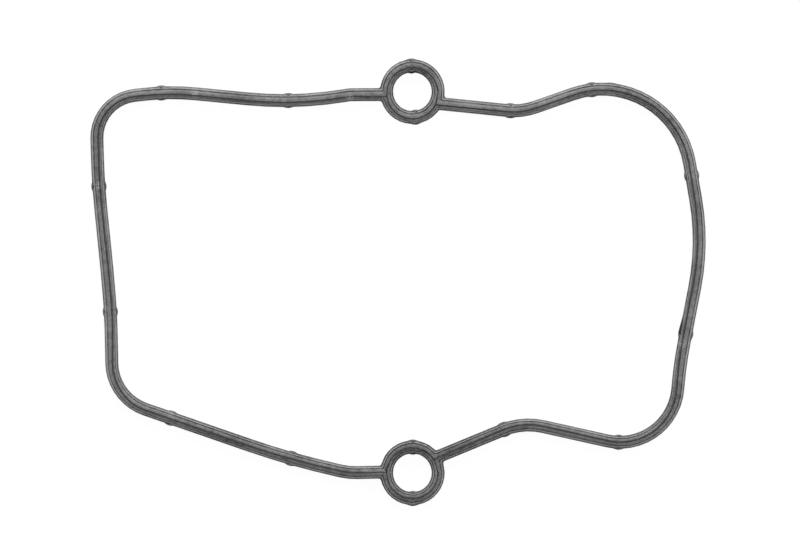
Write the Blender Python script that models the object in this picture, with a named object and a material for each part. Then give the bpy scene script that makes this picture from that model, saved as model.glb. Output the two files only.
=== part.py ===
"""Valve cover gasket: one moulded rubber loop of narrow profile strip with two bolt rings.

Sizes are in metres. The gasket lies on its flat foot at z = 0 with its long side along X.
Its walls are a loft: the outline of the whole moulding is worked out at each level of the
profile, and one level is joined to the next.
"""

import math

import bmesh
import bpy
from mathutils import Vector

# Bolt rings, one on each long side of the loop
BOLT_HOLE = 0.0139
BOLT_SPACING = 0.1372
BOLT_OFFSET = 0.0051

# Profile, the same all round the strip and both rings
RIB_WIDTH = 0.0047
RIB_THICKNESS = 0.0005
RIB_HEIGHT = 0.0024
RIB_STEP = 0.00035
RIB_UNDER_SLOPE = 0.0003
RIB_TOP_SLOPE = 0.0001
FOOT_EDGE = 0.0003
SHOULDER_HEIGHT = 0.0039
SHOULDER_INSET = 0.00035
SHOULDER_BEVEL = 0.0005
CREASE_HEIGHT = 0.00365
LIP_HEIGHT = 0.0046
LIP_FLANK = 0.0003
LIPS_WIDTH = 0.0021
SLOT_WIDTH = 0.0010
SLOT_DEPTH = 0.0012
SLOT_FLOOR_WIDTH = 0.00024

# Centreline of the strip: where it meets each ring, off the bolt's centre along Y
FAR_RING_RIGHT_EXIT = -0.0033
FAR_RING_LEFT_EXIT = -0.0010
NEAR_RING_RIGHT_EXIT = 0.0020
NEAR_RING_LEFT_EXIT = 0.0005

# Centreline of the strip: its corners as x, how far off the nearer bolt along Y, and the radius
# that rounds them, in the order in which the strip passes them
NEAR_RIGHT_CORNERS = (
    (0.0447, 0.0183, 0.0244),
    (0.0986, 0.0063, 0.0209),
    (0.1014, 0.0391, 0.1500),
)
FAR_RIGHT_CORNERS = (
    (0.1098, -0.0547, 0.0886),
    (0.0985, 0.0116, 0.0320),
    (0.0444, -0.0073, 0.0240),
)
FAR_LEFT_CORNERS = (
    (-0.0174, -0.0011, 0.0060),
    (-0.0365, -0.0043, 0.1360),
    (-0.0820, 0.0001, 0.0900),
    (-0.1088, -0.0029, 0.0152),
    (-0.1081, -0.0319, 0.2800),
)
NEAR_LEFT_CORNERS = (
    (-0.1033, 0.0580, 0.3400),
    (-0.1030, 0.0270, 0.0180),
    (-0.0382, 0.0046, 0.3000),
    (-0.0178, 0.0000, 0.0240),
)

# Nubs that hold the gasket in its groove, as distances along the strip from the ring it leaves
NUB_LENGTH = 0.0035
NUB_HEIGHT = 0.0004
RIGHT_NUBS = (0.0358, 0.0777, 0.1294, 0.1870, 0.2400, 0.2705)
LEFT_NUBS = (0.0448, 0.0906, 0.1402, 0.1855, 0.2356, 0.2813)
LONE_NUB = 0.2331
LONE_NUB_HEIGHT = 0.0002

# Nubs on the rings, as angles from +X, with the small rise that stands into each hole
RING_NUB_LENGTH = 0.0036
RING_NUB_HEIGHT = 0.00036
HOLE_NUB_LENGTH = 0.0027
HOLE_NUB_HEIGHT = 0.00045
FAR_RING_NUBS = (math.radians(92.5), math.radians(-83))
NEAR_RING_NUBS = (math.radians(-89), math.radians(89))

# Fillet between strip and ring where the profile is widest
JUNCTION_FILLET = 0.0009

# Fineness of the outlines
CHORD_ERROR = 0.00005
SHORTEST_STEP = 0.0001
RING_STEP = math.radians(10)
FILLET_STEPS = 4
NUB_STEPS = 4
SHARP_ANGLE = math.radians(35)

RUBBER_COLOUR = (0.155, 0.153, 0.155, 1.0)
RUBBER_ROUGHNESS = 0.6

RIB_HALF = RIB_WIDTH / 2
RING_RADIUS = BOLT_HOLE / 2 + RIB_HALF
FAR_BOLT = Vector((BOLT_OFFSET, BOLT_SPACING / 2))
NEAR_BOLT = Vector((BOLT_OFFSET, -BOLT_SPACING / 2))


def profile_levels():
    """The profile from the foot's edge, over a shoulder and a lip, down to the slot's floor.

    Each level is its half width, its height and the share of a nub that shows there.
    """
    wall = RIB_HALF - RIB_STEP
    lip = LIPS_WIDTH / 2
    rib_low = RIB_HEIGHT - RIB_THICKNESS / 2
    rib_high = RIB_HEIGHT + RIB_THICKNESS / 2
    return (
        (wall - FOOT_EDGE, 0.0, 0.0),
        (wall, FOOT_EDGE, 0.5),
        (wall, rib_low - RIB_UNDER_SLOPE, 1.0),
        (RIB_HALF, rib_low, 1.0),
        (RIB_HALF, rib_high, 1.0),
        (wall, rib_high + RIB_TOP_SLOPE, 1.0),
        (wall, SHOULDER_HEIGHT - SHOULDER_BEVEL, 0.0),
        (wall - SHOULDER_INSET, SHOULDER_HEIGHT, 0.0),
        (lip + LIP_FLANK, CREASE_HEIGHT, 0.0),
        (lip, LIP_HEIGHT, 0.0),
        (SLOT_WIDTH / 2, LIP_HEIGHT, 0.0),
        (SLOT_FLOOR_WIDTH / 2, LIP_HEIGHT - SLOT_DEPTH, 0.0),
    )


def unit(angle):
    return Vector((math.cos(angle), math.sin(angle)))


def turn_between(angle, other):
    """Signed turn from one heading to another, by the shorter way."""
    return (other - angle + math.pi) % (2 * math.pi) - math.pi


def corner_tangents(corners, legs, turns, clear):
    """Length that each corner's arc takes from its two legs, less where a leg is too short."""
    tangents = [radius * math.tan(abs(turn) / 2) for (_, _, radius), turn in zip(corners, turns)]
    shares = [1.0] * len(tangents)
    last = len(legs) - 1
    for number, leg in enumerate(legs):
        ends = [end for end in (number - 1, number) if 0 <= end < len(tangents)]
        wanted = sum(tangents[end] for end in ends)
        room = leg - clear if number in (0, last) else leg
        for end in ends:
            shares[end] = min(shares[end], room / wanted)
    return [tangent * share for tangent, share in zip(tangents, shares)]


def placed(corners, bolt):
    """Corners with their places in full, from their distances off a bolt."""
    return [(x, bolt.y + off, radius) for x, off, radius in corners]


def centreline(start, corners, end):
    """Straight runs and arcs, each as its length, start point, heading and curvature."""
    stops = [start] + [Vector((x, y)) for x, y, _ in corners] + [end]
    runs = [after - before for before, after in zip(stops, stops[1:])]
    headings = [math.atan2(run.y, run.x) for run in runs]
    turns = [turn_between(before, after) for before, after in zip(headings, headings[1:])]
    clear = RING_RADIUS + RIB_HALF + 2 * JUNCTION_FILLET
    tangents = corner_tangents(corners, [run.length for run in runs], turns, clear)
    pieces = []
    begun = 0.0
    for number, heading in enumerate(headings):
        along = unit(heading)
        ended = tangents[number] if number < len(tangents) else 0.0
        length = runs[number].length - begun - ended
        pieces.append((length, stops[number] + along * begun, heading, 0.0))
        if number < len(tangents):
            turn = turns[number]
            radius = ended / math.tan(abs(turn) / 2)
            arc_start = stops[number + 1] - along * ended
            pieces.append((radius * abs(turn), arc_start, heading, math.copysign(1 / radius, turn)))
            begun = ended
    return pieces


def place_on(pieces, distance):
    """Point and heading at a distance along a centreline."""
    for length, start, heading, curvature in pieces:
        if distance <= length:
            break
        distance -= length
    if curvature == 0:
        return start + unit(heading) * distance, heading
    now = heading + curvature * distance
    swing = Vector((math.sin(now) - math.sin(heading), math.cos(heading) - math.cos(now)))
    return start + swing / curvature, now


def strip_stations(pieces, nubs):
    """Distances at which a strip's outline has its points."""
    total = sum(piece[0] for piece in pieces)
    clear = RING_RADIUS + RIB_HALF + 2 * JUNCTION_FILLET
    distances = [clear, total - clear]
    done = 0.0
    for length, _, _, curvature in pieces:
        if curvature:
            radius = 1 / abs(curvature)
            step = 2 * math.acos(1 - CHORD_ERROR / radius)
            count = max(1, math.ceil(length / radius / step))
            distances += [done + length * number / count for number in range(count + 1)]
        done += length
    half = NUB_LENGTH / 2
    apart = half / NUB_STEPS
    kept = [d for d in distances if all(abs(d - nub) > half + apart for nub in nubs)]
    for nub in nubs:
        kept += [nub - half + NUB_LENGTH * number / NUB_STEPS for number in range(NUB_STEPS + 1)]
    spaced = []
    for distance in sorted(d for d in kept if clear <= d <= total - clear):
        if not spaced or distance - spaced[-1] > SHORTEST_STEP:
            spaced.append(distance)
    return spaced


def bulge(distance, middle, length, height):
    """Height of a rounded nub at a distance along the wall that it stands on."""
    share = (distance - middle) / (length / 2)
    return height * max(0.0, 1 - share * share)


def side_of(heading, outer):
    """Unit vector square to a heading, to the outside or the inside of the loop."""
    return unit(heading - math.pi / 2 if outer else heading + math.pi / 2)


def strip_wall(strip, outer, half, nub_share):
    """One wall of a strip at one level of the profile."""
    points = []
    for distance in strip["stations"]:
        place, heading = place_on(strip["pieces"], distance)
        rise = max(bulge(distance, nub, NUB_LENGTH, NUB_HEIGHT) for nub in strip["nubs"])
        if outer and strip["lone_nub"]:
            rise = max(rise, bulge(distance, LONE_NUB, NUB_LENGTH, LONE_NUB_HEIGHT))
        points.append(place + side_of(heading, outer) * (half + nub_share * rise))
    return points


def junction(ring, strip, leaving, outer, half):
    """Fillet in the corner between a strip's wall and its ring, from the strip to the ring."""
    fillet = JUNCTION_FILLET * half / RIB_HALF
    pieces = strip["pieces"]
    heading = pieces[0][2] if leaving else pieces[-1][2]
    foot = pieces[0][1] if leaving else pieces[-1][1]
    away = unit(heading) if leaving else -unit(heading)
    side = side_of(heading, outer)
    base = foot + side * (half + fillet) - ring["centre"]
    reach = RING_RADIUS + half + fillet
    along = base.dot(away)
    centre = base + away * (math.sqrt(along * along - base.length_squared + reach * reach) - along)
    first = math.atan2(-side.y, -side.x)
    sweep = turn_between(first, math.atan2(-centre.y, -centre.x))
    return [
        ring["centre"] + centre + unit(first + sweep * number / FILLET_STEPS) * fillet
        for number in range(FILLET_STEPS + 1)
    ]


def ring_wall(ring, outer, half, nub_share):
    """Part of a ring's outside between its two strips, at fixed angles about its nub.

    Two half steps round the nub's top.
    """
    before, after = ring["outer_counts"] if outer else ring["inner_counts"]
    nub = ring["outer_nub"] if outer else ring["inner_nub"]
    way = 1 if outer else -1
    points = []
    for number in sorted([*range(-before, after + 1), -0.5, 0.5]):
        swing = number * RING_STEP
        arc = swing * (RING_RADIUS + half)
        rise = nub_share * bulge(arc, 0.0, RING_NUB_LENGTH, RING_NUB_HEIGHT)
        points.append(ring["centre"] + unit(nub + way * swing) * (RING_RADIUS + half + rise))
    return points


def hole_wall(ring, half, nub_share):
    """A bolt hole at one level, with its two small rises in line with the ring's nubs."""
    first, second = ring["outer_nub"], ring["inner_nub"]
    turn = (second - first) % (2 * math.pi)
    count = round(math.pi / RING_STEP)
    shares = [number / count for number in sorted([*range(count), 0.5, count - 0.5])]
    swings = [turn * share for share in shares]
    swings += [turn + (2 * math.pi - turn) * share for share in shares]
    radius = RING_RADIUS - half
    points = []
    for swing in swings:
        near_first = min(swing, 2 * math.pi - swing)
        arc = min(near_first, abs(swing - turn)) * radius
        rise = nub_share * bulge(arc, 0.0, HOLE_NUB_LENGTH, HOLE_NUB_HEIGHT)
        points.append(ring["centre"] + unit(first + swing) * (radius - rise))
    return points


def make_strip(start, corners, end, nubs, lone_nub):
    pieces = centreline(start, corners, end)
    every_nub = nubs + (LONE_NUB,) if lone_nub else nubs
    return {
        "pieces": pieces,
        "nubs": nubs,
        "lone_nub": lone_nub,
        "stations": strip_stations(pieces, every_nub),
    }


def ring_counts(ring, nub, way, arriving, leaving, outer):
    """How many fixed angles fit before and after a nub, clear of both junctions."""
    limits = []
    for strip, leaves, sign in ((arriving, False, -1), (leaving, True, 1)):
        end = junction(ring, strip, leaves, outer, RIB_HALF)[-1] - ring["centre"]
        room = (sign * way * (math.atan2(end.y, end.x) - nub)) % (2 * math.pi)
        limits.append(int(room / RING_STEP - 0.5))
    return limits


def make_ring(centre, nubs, arriving, leaving):
    """A bolt ring between the strip that arrives at it and the one that leaves it."""
    ring = {"centre": centre, "outer_nub": nubs[0], "inner_nub": nubs[1]}
    ring["outer_counts"] = ring_counts(ring, nubs[0], 1, arriving, leaving, True)
    ring["inner_counts"] = ring_counts(ring, nubs[1], -1, arriving, leaving, False)
    ring["arriving"] = arriving
    ring["leaving"] = leaving
    return ring


def loop_outline(strips, rings, outer, half, nub_share):
    """Closed outline along the outside or the inside of the whole loop."""
    points = []
    for strip, ring in zip(strips, rings):
        points += strip_wall(strip, outer, half, nub_share)
        points += junction(ring, ring["arriving"], False, outer, half)
        points += ring_wall(ring, outer, half, nub_share)
        points += reversed(junction(ring, ring["leaving"], True, outer, half))
    return points


def level_outlines(strips, rings, half, nub_share):
    """The four closed outlines of the moulding at one level."""
    return (
        loop_outline(strips, rings, True, half, nub_share),
        loop_outline(strips, rings, False, half, nub_share),
        hole_wall(rings[0], half, nub_share),
        hole_wall(rings[1], half, nub_share),
    )


def loft(mesh, lower, upper):
    """Join two closed outlines, point for point, with a band of four-sided faces."""
    for number, corner in enumerate(lower):
        mesh.faces.new((lower[number - 1], corner, upper[number], upper[number - 1]))


def close_level(mesh, outlines, up):
    """Flat face over a whole level, with the loop's window and both holes left open."""
    edges = []
    for outline in outlines:
        edges += [mesh.edges.get((outline[number - 1], outline[number])) for number in range(len(outline))]
    bmesh.ops.triangle_fill(mesh, edges=edges, use_beauty=True, normal=(0, 0, 1 if up else -1))


def build_gasket():
    right = make_strip(
        NEAR_BOLT + Vector((0, NEAR_RING_RIGHT_EXIT)),
        placed(NEAR_RIGHT_CORNERS, NEAR_BOLT) + placed(FAR_RIGHT_CORNERS, FAR_BOLT),
        FAR_BOLT + Vector((0, FAR_RING_RIGHT_EXIT)),
        RIGHT_NUBS,
        True,
    )
    left = make_strip(
        FAR_BOLT + Vector((0, FAR_RING_LEFT_EXIT)),
        placed(FAR_LEFT_CORNERS, FAR_BOLT) + placed(NEAR_LEFT_CORNERS, NEAR_BOLT),
        NEAR_BOLT + Vector((0, NEAR_RING_LEFT_EXIT)),
        LEFT_NUBS,
        False,
    )
    far_ring = make_ring(FAR_BOLT, FAR_RING_NUBS, right, left)
    near_ring = make_ring(NEAR_BOLT, NEAR_RING_NUBS, left, right)

    mesh = bmesh.new()
    levels = []
    for half, height, nub_share in profile_levels():
        outlines = level_outlines((right, left), (far_ring, near_ring), half, nub_share)
        levels.append([[mesh.verts.new((p.x, p.y, height)) for p in outline] for outline in outlines])
    for lower, upper in zip(levels, levels[1:]):
        for lower_outline, upper_outline in zip(lower, upper):
            loft(mesh, lower_outline, upper_outline)
    close_level(mesh, levels[0], False)
    close_level(mesh, levels[-1], True)
    bmesh.ops.recalc_face_normals(mesh, faces=mesh.faces)

    data = bpy.data.meshes.new("gasket")
    mesh.to_mesh(data)
    mesh.free()
    data.shade_smooth()
    data.set_sharp_from_angle(angle=SHARP_ANGLE)
    gasket = bpy.data.objects.new("gasket", data)
    bpy.context.scene.collection.objects.link(gasket)
    return gasket


def rubber_material():
    """Matte dark grey moulded rubber."""
    material = bpy.data.materials.new("moulded rubber")
    material.use_nodes = True
    shader = material.node_tree.nodes["Principled BSDF"]
    shader.inputs["Base Color"].default_value = RUBBER_COLOUR
    shader.inputs["Roughness"].default_value = RUBBER_ROUGHNESS
    shader.inputs["Metallic"].default_value = 0.0
    return material


def main():
    for leftover in list(bpy.data.objects):
        bpy.data.objects.remove(leftover)
    build_gasket().data.materials.append(rubber_material())


main()
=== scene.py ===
"""Looks of a moulded rubber valve cover gasket, laid flat on a white table and seen from above."""
import math

import bmesh
import bpy
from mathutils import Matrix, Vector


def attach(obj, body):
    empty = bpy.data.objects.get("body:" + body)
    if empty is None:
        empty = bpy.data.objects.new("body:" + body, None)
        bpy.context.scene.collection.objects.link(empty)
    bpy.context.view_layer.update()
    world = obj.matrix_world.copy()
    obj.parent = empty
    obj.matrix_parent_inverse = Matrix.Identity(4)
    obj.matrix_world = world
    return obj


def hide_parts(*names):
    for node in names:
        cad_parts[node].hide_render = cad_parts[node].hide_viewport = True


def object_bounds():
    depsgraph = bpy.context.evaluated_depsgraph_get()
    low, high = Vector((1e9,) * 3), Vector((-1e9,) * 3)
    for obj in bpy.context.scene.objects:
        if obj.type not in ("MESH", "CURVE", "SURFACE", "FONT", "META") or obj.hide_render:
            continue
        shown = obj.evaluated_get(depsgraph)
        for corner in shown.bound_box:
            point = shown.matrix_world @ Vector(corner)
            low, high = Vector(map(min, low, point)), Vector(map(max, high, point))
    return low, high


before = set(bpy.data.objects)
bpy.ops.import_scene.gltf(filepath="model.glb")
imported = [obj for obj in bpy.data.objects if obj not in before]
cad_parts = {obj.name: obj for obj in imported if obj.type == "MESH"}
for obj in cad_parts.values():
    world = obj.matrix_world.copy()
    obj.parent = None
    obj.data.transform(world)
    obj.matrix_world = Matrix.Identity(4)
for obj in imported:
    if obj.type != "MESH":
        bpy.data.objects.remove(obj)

bl_info = {
    "name": "Valve Cover Gasket",
    "version": (1, 0, 0),
    "blender": (4, 5, 0),
    "location": "3D View > Sidebar > Gasket",
    "description": "Builds a moulded rubber valve cover gasket and the white table it lies on",
    "category": "Object",
}

LOWEST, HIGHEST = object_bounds()
MILLIMETRE = 0.001

# The photo's width, the size of one of its pixels on the gasket, and the point in its middle, at the
# height of the widest part of the profile
PHOTO_PIXELS = 800
PIXEL = 0.36 * MILLIMETRE
PHOTO_MIDDLE = (0.64 * MILLIMETRE, 5.66 * MILLIMETRE, 2.4 * MILLIMETRE)
SENSOR_WIDTH = 36.0

# Heights of the profile's levels
RIB_TOP = 2.70 * MILLIMETRE
SLOT_FLOOR = 3.40 * MILLIMETRE
CREASE = 3.65 * MILLIMETRE
SHOULDER = 3.90 * MILLIMETRE
LIP_EDGE = 4.40 * MILLIMETRE
LIP_TOP = 4.60 * MILLIMETRE

# How far the levels above the walls follow the lips as they lie over
LEAN_SHARES = ((SLOT_FLOOR, 1.0), (CREASE, 0.2), (LIP_EDGE, 0.5), (LIP_TOP, 1.0))

# A point this near to a level is on it, and one whose normal rises by more than this looks up
ON_LEVEL = 0.01 * MILLIMETRE
LOOKS_UP = 0.5

# Points nearer than this are one, and triangles that bend and skew by less than this make a quad
MERGE_DISTANCE = 0.001 * MILLIMETRE
BENT_FACE = math.radians(60)

# An edge that turns by more than the first is rounded, and by less than the second shaded smooth
TURNED_EDGE = math.radians(12)
SMOOTHED_EDGE = math.radians(50)

# Bloom of talc on a level, between 0 for none and 1 for full, and its patches, as size in
# millimetres, detail and amount: broad patches, mottling, and grain drawn 0.45 mm across, coarser
# than the real 0.1 mm so that it shows
BLOOM = 0.40
BLOOM_PATCHES = ((16.0, 2.0, 0.62), (1.6, 3.0, 0.75), (0.45, 1.0, 0.5))
PATCH_ROUGHNESS = 0.55

# What each level adds to the bloom, on points that look up or, where False, out to the side:
# painted shade that darkens the rib tops, the slot's floor, the creases and the lips' slot edges,
# painted highlight that pales the shoulders and the lips' outer edges, and the slot's walls a little
# paler
LEVEL_SHADE_AND_HIGHLIGHT = (
    (RIB_TOP, True, -0.16),
    (SLOT_FLOOR, True, -1.00),
    (SLOT_FLOOR, False, 0.05),
    (CREASE, True, -0.30),
    (SHOULDER, True, 0.66),
    (LIP_TOP, True, -0.10),
    (LIP_EDGE, True, 0.08),
)

# How far from its level a rounded edge reaches, and so takes on that level's painted shade and
# highlight
PAINTED_LIGHT_REACH = 0.12 * MILLIMETRE

# Spots where the rubber is darker, the two on the rings' far sides being painted shade, and spots
# beside the bolts where the slot is pressed nearly shut, as place and reach in millimetres, and
# amount, and then the most that the slot closes anywhere
DARKER_SPOTS = (
    (5.0, 75.5, 5.0, -0.21),
    (5.0, -60.0, 6.0, -0.29),
    (-55.0, 66.0, 30.0, -0.07),
    (-50.0, -60.0, 30.0, -0.06),
    (50.0, -55.0, 30.0, -0.06),
)
PRESSED_SPOTS = (
    (-4.4, 68.8, 5.0, 0.4),
    (14.6, 68.8, 5.0, 0.4),
    (-4.4, -68.6, 5.0, 0.4),
    (14.6, -68.6, 5.0, 0.4),
)
MOST_CLOSED = 0.9

# Pale scuffs, as place and reach in millimetres, how strong they are in their middles, and the
# heights of the grain between which they break up
SCUFFS = (
    (-17.5, 66.3, 2.2),
    (-73.2, 68.0, 1.8),
    (102.0, -22.1, 2.4),
    (-107.9, 34.8, 2.0),
    (-105.0, 12.5, 1.4),
)
SCUFF_STRENGTH = 1.2
SCUFF_BREAK = (0.46, 0.58)

# Roughness of bare rubber and of full bloom, and the height of the mottling
BARE_ROUGHNESS = 0.42
BLOOM_ROUGHNESS = 0.66
MOTTLING_DEPTH = 0.05 * MILLIMETRE

# How the lips lie over, as place and lean along X and Y, in millimetres, round the loop from the
# far ring's right side, and last round the far and near rings
LIP_LEANS = (
    (23, 64, -0.09, -0.71),
    (43, 62, 0.02, -0.58),
    (62, 67, 0.18, -0.58),
    (82, 68, -0.14, -0.52),
    (98, 57, -0.31, -0.25),
    (106, 39, -0.34, -0.06),
    (108, 19, -0.64, -0.03),
    (107, -1, -0.84, 0.14),
    (103, -21, -0.84, 0.15),
    (100, -41, -0.50, 0.11),
    (88, -56, 0.01, -0.03),
    (68, -55, 0.02, 0.09),
    (48, -52, 0.01, 0.10),
    (29, -57, 0.03, -0.06),
    (-14, -68, 0.00, 0.05),
    (-34, -65, -0.04, -0.15),
    (-53, -59, -0.09, -0.28),
    (-72, -52, -0.12, -0.35),
    (-91, -46, -0.14, -0.36),
    (-103, -31, 0.33, 0.05),
    (-104, -11, 0.80, 0.05),
    (-105, 9, 0.57, 0.06),
    (-107, 29, 0.55, 0.05),
    (-108, 49, 0.61, 0.01),
    (-99, 66, 0.24, -0.56),
    (-80, 68, -0.03, -0.75),
    (-60, 66, -0.08, -0.85),
    (-39, 65, 0.00, -0.85),
    (-19, 67, 0.10, -0.84),
    (5, 78, 0.00, -0.85),
    (5, 60, 0.00, -0.50),
    (-4, 69, 0.10, -0.75),
    (14, 69, -0.10, -0.75),
    (5, -60, 0.00, -0.70),
    (5, -78, 0.00, 0.30),
    (-4, -69, 0.15, -0.15),
    (14, -69, -0.15, -0.10),
)

# Lamps, as name, place, side in metres and power in watts, all turned to the gasket
LAMPS = (
    ("far_low_softbox", (0.0, 1.1, 0.3), 0.5, 5.8),
    ("far_high_softbox", (0.0, 1.0, 0.7), 0.7, 5.5),
    ("left_softbox", (-0.6, 0.0, 0.2), 0.4, 0.7),
    ("right_softbox", (0.6, 0.0, 0.2), 0.4, 1.0),
    ("overhead_softbox", (0.0, 0.0, 1.5), 0.7, 10.6),
)
ROOM_LIGHT = 0.02

# The table's side in metres, its gap under the gasket, the glow that makes it white to the camera,
# and the grey that takes the gasket's shadow
TABLE_SIDE = 20.0
TABLE_GAP = 0.05 * MILLIMETRE
TABLE_GLOW = 0.91
TABLE_SHADE = (0.14, 0.14, 0.14, 1.0)


def linear(hex_colour):
    """An sRGB hex colour such as "6f6e70" as the linear red, green and blue that Blender works in."""
    channels = [int(hex_colour[place:place + 2], 16) / 255 for place in (0, 2, 4)]
    return tuple(c / 12.92 if c <= 0.04045 else ((c + 0.055) / 1.055) ** 2.4 for c in channels)


def add_node(tree, kind, settings=None, **inputs):
    """Adds one node, sets its properties, and sets or links its inputs."""
    node = tree.nodes.new(kind)
    for name, value in (settings or {}).items():
        setattr(node, name, value)
    for name, value in inputs.items():
        key = int(name[1:]) if name[0] == "i" and name[1:].isdigit() else name.replace("_", " ")
        if isinstance(value, bpy.types.NodeSocket):
            tree.links.new(value, node.inputs[key])
        else:
            node.inputs[key].default_value = value
    return node


def empty_tree(owner):
    """Turns nodes on for a material or world and clears what is there."""
    owner.use_nodes = True
    owner.node_tree.nodes.clear()
    return owner.node_tree


class MouldingSettings(bpy.types.PropertyGroup):
    edge_radius: bpy.props.FloatProperty(
        name="Edge Radius",
        description="Rounding that the mould leaves on the long edges of the profile",
        default=0.00010,
        min=0.00002,
        max=0.0002,
        precision=5,
        subtype="DISTANCE",
        unit="LENGTH",
    )
    edge_segments: bpy.props.IntProperty(
        name="Edge Segments",
        description="Faces across each rounded edge",
        default=2,
        min=1,
        max=6,
    )
    closing: bpy.props.FloatProperty(
        name="Slot Closing",
        description="How far the slack lips close over the slot, as a share of the slope of its sides",
        default=0.5,
        min=0.0,
        max=0.9,
        subtype="FACTOR",
    )
    lean: bpy.props.FloatProperty(
        name="Lean",
        description="How far the slack rubber's lips lie over, as a share of how they lie in the photo",
        default=1.0,
        min=0.0,
        max=1.0,
        subtype="FACTOR",
    )
    lean_reach: bpy.props.FloatProperty(
        name="Lean Reach",
        description="Distance over which one lean of the lips passes into the next",
        default=0.009,
        min=0.005,
        max=0.03,
        precision=4,
        subtype="DISTANCE",
        unit="LENGTH",
    )


class RubberSettings(bpy.types.PropertyGroup):
    # The deep colour is also reached by the painted shade in the slot and creases, and the pale one by
    # the painted highlight on the shoulders
    deep: bpy.props.FloatVectorProperty(
        name="Deep Rubber",
        description="Darkest colour of the mottled rubber",
        subtype="COLOR",
        size=3,
        min=0.0,
        max=1.0,
        default=linear("282626"),
    )
    pale: bpy.props.FloatVectorProperty(
        name="Pale Rubber",
        description="Palest colour of the mottled rubber, where talc and handling have dulled it",
        subtype="COLOR",
        size=3,
        min=0.0,
        max=1.0,
        default=linear("a8a6a6"),
    )
    scuff: bpy.props.FloatVectorProperty(
        name="Scuff",
        description="Colour of the small pale scuffs",
        subtype="COLOR",
        size=3,
        min=0.0,
        max=1.0,
        default=linear("b9b8b6"),
    )
    grain_depth: bpy.props.FloatProperty(
        name="Grain Depth",
        description="Height of the fine grain that the mould leaves",
        default=0.00003,
        min=0.0,
        max=0.0002,
        precision=6,
        subtype="DISTANCE",
        unit="LENGTH",
    )


class StageSettings(bpy.types.PropertyGroup):
    camera_distance: bpy.props.FloatProperty(
        name="Camera Distance",
        description="Height of the camera above the widest part of the profile",
        default=2.0,
        min=0.3,
        max=4.0,
        subtype="DISTANCE",
        unit="LENGTH",
    )
    table: bpy.props.FloatVectorProperty(
        name="Table",
        description="Colour of the white table",
        subtype="COLOR",
        size=3,
        min=0.0,
        max=1.0,
        default=linear("f2f2f2"),
    )


def activate(piece):
    """Makes a piece the only selected and the active one."""
    bpy.ops.object.select_all(action="DESELECT")
    piece.select_set(True)
    bpy.context.view_layer.objects.active = piece


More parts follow.
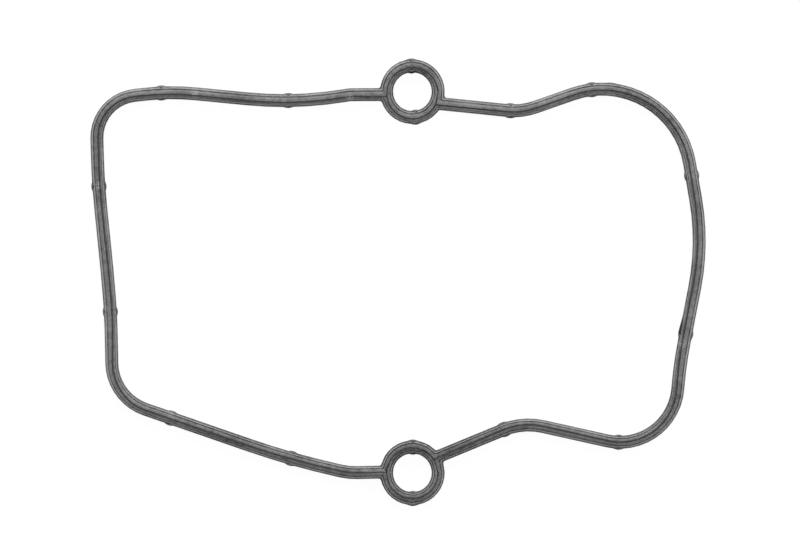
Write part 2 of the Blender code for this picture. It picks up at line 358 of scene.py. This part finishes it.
def rubber_material(settings):
    """Nitrile rubber, compression moulded: matte, near black, with a bloom of talc that greys it.

    The bloom is uneven at three sizes and scuffed in five places. Painted highlight makes the
    shoulders and the lips' outer edges paler, and painted shade darkens the rib tops, the creases,
    the slot and the lips' slot edges. The mould's finish shows as a fine grain.
    """
    material = bpy.data.materials.new("moulded nitrile rubber")
    tree = empty_tree(material)
    place = add_node(tree, "ShaderNodeTexCoord").outputs["Object"]
    # Painted shade and highlight that each level adds, and the darker spots, read from the points
    painted_light_and_spots = add_node(tree, "ShaderNodeAttribute", {"attribute_name": "painted_light_and_spots"}).outputs["Fac"]

    # Bloom of talc in patches, over the levels' painted shade and highlight and the darker spots
    bloom_and_painted_light = painted_light_and_spots
    heights = []
    for size, detail, amount in BLOOM_PATCHES:
        noise = add_node(
            tree,
            "ShaderNodeTexNoise",
            Vector=place,
            Scale=1 / (size * MILLIMETRE),
            Detail=detail,
            Roughness=PATCH_ROUGHNESS,
        )
        heights.append(noise.outputs["Fac"])
        share = add_node(
            tree,
            "ShaderNodeMapRange",
            {"clamp": False},
            i0=noise.outputs["Fac"],
            i1=0.0,
            i2=1.0,
            i3=-amount / 2,
            i4=amount / 2,
        )
        bloom_and_painted_light = add_node(tree, "ShaderNodeMath", i0=bloom_and_painted_light, i1=share.outputs[0]).outputs[0]
    mottling_height, grain_height = heights[1:]
    bloom_and_painted_light = add_node(tree, "ShaderNodeMath", {"use_clamp": True}, i0=bloom_and_painted_light, i1=BLOOM).outputs[0]
    rubber = add_node(
        tree,
        "ShaderNodeMix",
        {"data_type": "RGBA"},
        i0=bloom_and_painted_light,
        i6=(*settings.deep, 1.0),
        i7=(*settings.pale, 1.0),
    )

    # Scuffs, strongest in their middles and broken up by the grain
    scuffed = None
    for x, y, reach in SCUFFS:
        middle = (x * MILLIMETRE, y * MILLIMETRE, LIP_TOP)
        away = add_node(tree, "ShaderNodeVectorMath", {"operation": "DISTANCE"}, i0=place, i1=middle)
        patch = add_node(
            tree,
            "ShaderNodeMapRange",
            i0=away.outputs["Value"],
            i1=0.0,
            i2=reach * MILLIMETRE,
            i3=SCUFF_STRENGTH,
            i4=0.0,
        ).outputs[0]
        if scuffed is not None:
            patch = add_node(tree, "ShaderNodeMath", i0=scuffed, i1=patch).outputs[0]
        scuffed = patch
    broken = add_node(
        tree,
        "ShaderNodeMapRange",
        i0=grain_height,
        i1=SCUFF_BREAK[0],
        i2=SCUFF_BREAK[1],
        i3=0.0,
        i4=1.0,
    )
    scuffed = add_node(
        tree,
        "ShaderNodeMath",
        {"operation": "MULTIPLY", "use_clamp": True},
        i0=scuffed,
        i1=broken.outputs[0],
    )
    colour = add_node(
        tree,
        "ShaderNodeMix",
        {"data_type": "RGBA"},
        i0=scuffed.outputs[0],
        i6=rubber.outputs[2],
        i7=(*settings.scuff, 1.0),
    )

    # Talc dulls the rubber, so it is roughest where it is palest
    roughness = add_node(
        tree,
        "ShaderNodeMapRange",
        i0=bloom_and_painted_light,
        i1=0.0,
        i2=1.0,
        i3=BARE_ROUGHNESS,
        i4=BLOOM_ROUGHNESS,
    )
    uneven = add_node(
        tree,
        "ShaderNodeBump",
        Strength=1.0,
        Distance=MOTTLING_DEPTH,
        Height=mottling_height,
    )
    grain = add_node(
        tree,
        "ShaderNodeBump",
        Strength=1.0,
        Distance=settings.grain_depth,
        Height=grain_height,
        Normal=uneven.outputs[0],
    )
    shader = add_node(
        tree,
        "ShaderNodeBsdfPrincipled",
        Base_Color=colour.outputs[2],
        Roughness=roughness.outputs[0],
        IOR=1.5,
        Normal=grain.outputs[0],
    )
    add_node(tree, "ShaderNodeOutputMaterial", Surface=shader.outputs["BSDF"])
    return material


def lean_at(x, y, reach):
    """How far the lips lie over at a place, blended from the nearest leans round the loop."""
    total = along_x = along_y = 0.0
    for place_x, place_y, lean_x, lean_y in LIP_LEANS:
        away = math.hypot(x - place_x * MILLIMETRE, y - place_y * MILLIMETRE) / reach
        weight = math.exp(-away * away / 2)
        total += weight
        along_x += weight * lean_x * MILLIMETRE
        along_y += weight * lean_y * MILLIMETRE
    return along_x / total, along_y / total


def faces_up(point, height):
    """Whether a point lies at one height on the gasket's upper side, not on its walls."""
    return abs(point.co.z - height) < ON_LEVEL and point.normal.z > LOOKS_UP


def select_long_edges(piece):
    """Selects the edges that run along the profile and turn it, but not those of the slot's floor."""
    bpy.ops.mesh.select_mode(type="EDGE")
    bpy.ops.mesh.select_all(action="DESELECT")
    mesh = bmesh.from_edit_mesh(piece.data)
    for edge in mesh.edges:
        level = abs(edge.verts[0].co.z - edge.verts[1].co.z) < MERGE_DISTANCE
        floor = all(faces_up(point, SLOT_FLOOR) for point in edge.verts)
        edge.select = level and not floor and edge.calc_face_angle() > TURNED_EDGE
    bmesh.update_edit_mesh(piece.data)


def spots_at(spots, place):
    """What a list of round, soft-edged spots adds at a place."""
    total = 0.0
    for x, y, reach, amount in spots:
        away = math.hypot(place.x / MILLIMETRE - x, place.y / MILLIMETRE - y) / reach
        total += amount * math.exp(-away * away / 2)
    return total


def painted_light_and_spots_at(point):
    """What a point of the moulding adds to the bloom: its level's painted shade and highlight, and the
    darker spots.
    """
    painted_light_and_spots = spots_at(DARKER_SPOTS, point.co)
    for level, looks_up, amount in LEVEL_SHADE_AND_HIGHLIGHT:
        if abs(point.co.z - level) < PAINTED_LIGHT_REACH and (point.normal.z > LOOKS_UP) == looks_up:
            return painted_light_and_spots + amount
    return painted_light_and_spots


class GASKET_OT_moulding(bpy.types.Operator):
    """Refines the gasket's moulding: one loop of profile strip with two bolt rings"""

    bl_idname = "gasket.moulding"
    bl_label = "Gasket Moulding"
    bl_options = {"REGISTER", "UNDO"}

    def execute(self, context):
        settings = context.scene.gasket_moulding
        piece = bpy.data.objects.new("gasket_moulding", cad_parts["gasket"].data.copy())
        context.scene.collection.objects.link(piece)
        activate(piece)
        bpy.ops.object.mode_set(mode="EDIT")
        bpy.ops.mesh.select_mode(type="VERT")
        bpy.ops.mesh.select_all(action="SELECT")
        bpy.ops.mesh.remove_doubles(threshold=MERGE_DISTANCE)
        bpy.ops.mesh.tris_convert_to_quads(face_threshold=BENT_FACE, shape_threshold=BENT_FACE)
        self.close_slot(piece, settings)
        self.crown_lips(piece)
        self.lean_lips(piece, settings)
        select_long_edges(piece)
        bpy.ops.mesh.bevel(
            offset=settings.edge_radius,
            offset_type="OFFSET",
            segments=settings.edge_segments,
            profile=0.5,
            affect="EDGES",
            clamp_overlap=False,
        )
        bpy.ops.object.mode_set(mode="OBJECT")
        # Each point stores its level's painted shade and highlight, and the darker spots
        painted_light_and_spots = piece.data.attributes.new("painted_light_and_spots", "FLOAT", "POINT")
        painted_light_and_spots.data.foreach_set("value", [painted_light_and_spots_at(point) for point in piece.data.vertices])
        piece.data.materials.clear()
        piece.data.materials.append(rubber_material(context.scene.gasket_rubber))
        bpy.ops.object.shade_smooth_by_angle(angle=SMOOTHED_EDGE)
        self.report({"INFO"}, f"{len(piece.data.polygons)} faces")
        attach(piece, "root")
        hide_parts("gasket")
        return {"FINISHED"}

    def close_slot(self, piece, settings):
        """The slack lips close over the slot, so each side's top edge moves in towards its foot."""
        mesh = bmesh.from_edit_mesh(piece.data)
        mesh.normal_update()
        tops = [point for point in mesh.verts if faces_up(point, LIP_TOP)]
        for top in tops:
            feet = [edge.other_vert(top) for edge in top.link_edges]
            feet = [foot for foot in feet if faces_up(foot, SLOT_FLOOR)]
            if feet:
                foot = min(feet, key=lambda each: (each.co.xy - top.co.xy).length)
                closing = min(settings.closing + spots_at(PRESSED_SPOTS, top.co), MOST_CLOSED)
                top.co.xy = top.co.xy.lerp(foot.co.xy, closing)
        bmesh.update_edit_mesh(piece.data)

    def crown_lips(self, piece):
        """Pressed lips are worn round, so each one's top falls away from the slot to its outer edge."""
        mesh = bmesh.from_edit_mesh(piece.data)
        for point in mesh.verts:
            beside = [edge.other_vert(point) for edge in point.link_edges]
            if faces_up(point, LIP_TOP) and not any(faces_up(each, SLOT_FLOOR) for each in beside):
                point.co.z = LIP_EDGE
        mesh.normal_update()
        bmesh.update_edit_mesh(piece.data)

    def lean_lips(self, piece, settings):
        """The rubber is slack, so all that stands above the walls lies over a little as one."""
        mesh = bmesh.from_edit_mesh(piece.data)
        mesh.normal_update()
        for height, share in LEAN_SHARES:
            points = [point for point in mesh.verts if faces_up(point, height)]
            if not points:
                raise RuntimeError(f"the profile has no level at {height / MILLIMETRE:.2f} mm")
            for point in points:
                lean_x, lean_y = lean_at(point.co.x, point.co.y, settings.lean_reach)
                point.co.x += settings.lean * share * lean_x
                point.co.y += settings.lean * share * lean_y
        mesh.normal_update()
        bmesh.update_edit_mesh(piece.data)


class GASKET_OT_stage(bpy.types.Operator):
    """Adds the white table, the soft lamps and the camera straight above"""

    bl_idname = "gasket.stage"
    bl_label = "Table, Lamps and Camera"
    bl_options = {"REGISTER", "UNDO"}

    def execute(self, context):
        settings = context.scene.gasket_stage
        self.add_table(settings)
        self.add_lamps(context)
        self.add_camera(context, settings)
        context.scene.view_settings.view_transform = "Standard"
        return {"FINISHED"}

    def add_table(self, settings):
        bpy.ops.object.select_all(action="DESELECT")
        bpy.ops.mesh.primitive_plane_add(size=TABLE_SIDE, location=(0, 0, LOWEST[2] - TABLE_GAP))
        table = bpy.context.active_object
        table.name = "white_table"
        bpy.ops.object.transform_apply(location=True, rotation=False, scale=False)

        # Matte laminate: white to the camera and in reflections, with the gasket's soft shadow on it
        material = bpy.data.materials.new("white table laminate")
        tree = empty_tree(material)
        path = add_node(tree, "ShaderNodeLightPath")
        shown = add_node(
            tree,
            "ShaderNodeMath",
            {"operation": "MAXIMUM"},
            i0=path.outputs["Is Camera Ray"],
            i1=path.outputs["Is Glossy Ray"],
        )
        seen = add_node(
            tree,
            "ShaderNodeMath",
            {"operation": "MAXIMUM"},
            i0=shown.outputs[0],
            i1=path.outputs["Is Transmission Ray"],
        )
        matte = add_node(tree, "ShaderNodeBsdfDiffuse", Color=(*settings.table, 1.0))
        dim = add_node(tree, "ShaderNodeBsdfDiffuse", Color=TABLE_SHADE)
        glow = add_node(tree, "ShaderNodeEmission", Color=(1, 1, 1, 1), Strength=TABLE_GLOW)
        white = add_node(tree, "ShaderNodeAddShader", i0=dim.outputs[0], i1=glow.outputs[0])
        mix = add_node(
            tree,
            "ShaderNodeMixShader",
            i0=seen.outputs[0],
            i1=matte.outputs[0],
            i2=white.outputs[0],
        )
        add_node(tree, "ShaderNodeOutputMaterial", Surface=mix.outputs[0])
        table.data.materials.append(material)

    def add_lamps(self, context):
        for name, place, side, power in LAMPS:
            lamp = bpy.data.lights.new(name, "AREA")
            lamp.shape = "SQUARE"
            lamp.size = side
            lamp.energy = power
            holder = bpy.data.objects.new(name, lamp)
            context.scene.collection.objects.link(holder)
            holder.location = place
            holder.rotation_euler = (-holder.location).to_track_quat("-Z", "Y").to_euler()
        world = bpy.data.worlds.new("soft room light")
        context.scene.world = world
        tree = empty_tree(world)
        sky = add_node(tree, "ShaderNodeBackground", Color=(1, 1, 1, 1), Strength=ROOM_LIGHT)
        add_node(tree, "ShaderNodeOutputWorld", Surface=sky.outputs[0])

    def add_camera(self, context, settings):
        camera = bpy.data.cameras.new("camera")
        camera.lens = SENSOR_WIDTH * settings.camera_distance / (PHOTO_PIXELS * PIXEL)
        camera.clip_start = 0.01
        holder = bpy.data.objects.new("camera", camera)
        context.scene.collection.objects.link(holder)
        holder.location = PHOTO_MIDDLE
        holder.location.z += settings.camera_distance
        context.scene.camera = holder


class GASKET_PT_panel(bpy.types.Panel):
    """Lists the settings and the steps that build the gasket"""

    bl_label = "Valve Cover Gasket"
    bl_idname = "GASKET_PT_panel"
    bl_space_type = "VIEW_3D"
    bl_region_type = "UI"
    bl_category = "Gasket"

    def draw(self, context):
        scene = context.scene
        for settings in (scene.gasket_moulding, scene.gasket_rubber, scene.gasket_stage):
            column = self.layout.column(align=True)
            for name in settings.__annotations__:
                column.prop(settings, name)
        column = self.layout.column(align=True)
        column.operator(GASKET_OT_moulding.bl_idname)
        column.operator(GASKET_OT_stage.bl_idname)


CLASSES = (
    MouldingSettings,
    RubberSettings,
    StageSettings,
    GASKET_OT_moulding,
    GASKET_OT_stage,
    GASKET_PT_panel,
)


def register():
    for each in CLASSES:
        bpy.utils.register_class(each)
    bpy.types.Scene.gasket_moulding = bpy.props.PointerProperty(type=MouldingSettings)
    bpy.types.Scene.gasket_rubber = bpy.props.PointerProperty(type=RubberSettings)
    bpy.types.Scene.gasket_stage = bpy.props.PointerProperty(type=StageSettings)


def unregister():
    del bpy.types.Scene.gasket_stage
    del bpy.types.Scene.gasket_rubber
    del bpy.types.Scene.gasket_moulding
    for each in reversed(CLASSES):
        bpy.utils.unregister_class(each)


def main():
    register()
    bpy.ops.gasket.moulding()
    bpy.ops.gasket.stage()


if __name__ == "__main__":
    main()
